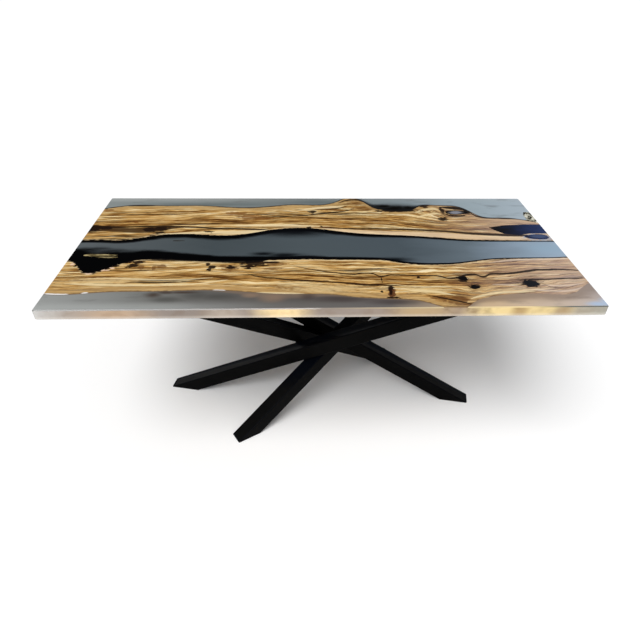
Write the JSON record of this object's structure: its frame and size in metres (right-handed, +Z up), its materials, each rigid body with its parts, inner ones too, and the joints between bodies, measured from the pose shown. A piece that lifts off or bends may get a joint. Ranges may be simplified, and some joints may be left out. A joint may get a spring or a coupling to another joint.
{
  "type": "dining table",
  "caption": "Rectangular dining table with live-edge wooden boards cast in smoky grey resin, on a welded base of crossing black square-tube legs.",
  "frame": {"origin": "on the floor, under the middle of the top", "axes": "+X along the table's length, +Y across it towards the edge that is further away in the picture, +Z up"},
  "size_m": [1.8, 0.85, 0.765],
  "materials": {
    "oiled_wood": "gloss clear coat over golden brown grain",
    "burl_wood": "gloss clear coat over greyed swirling grain",
    "smoky_resin": "polished smoky grey resin",
    "dark_resin": "polished blue-black resin",
    "black_powder_coat": "satin black powder coat",
    "foot_rubber": "matt",
    "zinc_steel": "zinc plated"
  },
  "bodies": {
    "root": {"front_board": "oiled_wood", "back_board": "oiled_wood", "river_splinters": "oiled_wood", "burl_fragment": "burl_wood", "resin_river": "smoky_resin", "resin_front_left": "smoky_resin", "resin_front_right": "smoky_resin", "resin_back_left": "smoky_resin", "resin_back_right": "smoky_resin", "front_board_resin_fills": "dark_resin", "back_board_resin_fills": "dark_resin", "left_leg_tube": "black_powder_coat", "left_leg_mounting_plate": "black_powder_coat", "left_leg_foot_plate": "black_powder_coat", "left_leg_pad": "foot_rubber", "right_leg_tube": "black_powder_coat", "right_leg_mounting_plate": "black_powder_coat", "right_leg_foot_plate": "black_powder_coat", "right_leg_pad": "foot_rubber", "front_leg_tube": "black_powder_coat", "front_leg_mounting_plate": "black_powder_coat", "front_leg_foot_plate": "black_powder_coat", "front_leg_pad": "foot_rubber", "back_leg_tube": "black_powder_coat", "back_leg_mounting_plate": "black_powder_coat", "back_leg_foot_plate": "black_powder_coat", "back_leg_pad": "foot_rubber", "crossing_welds": "black_powder_coat", "plate_welds": "black_powder_coat", "bolts": "zinc_steel", "washers": "zinc_steel", "threaded_inserts": "zinc_steel"}
  },
  "joints": []
}
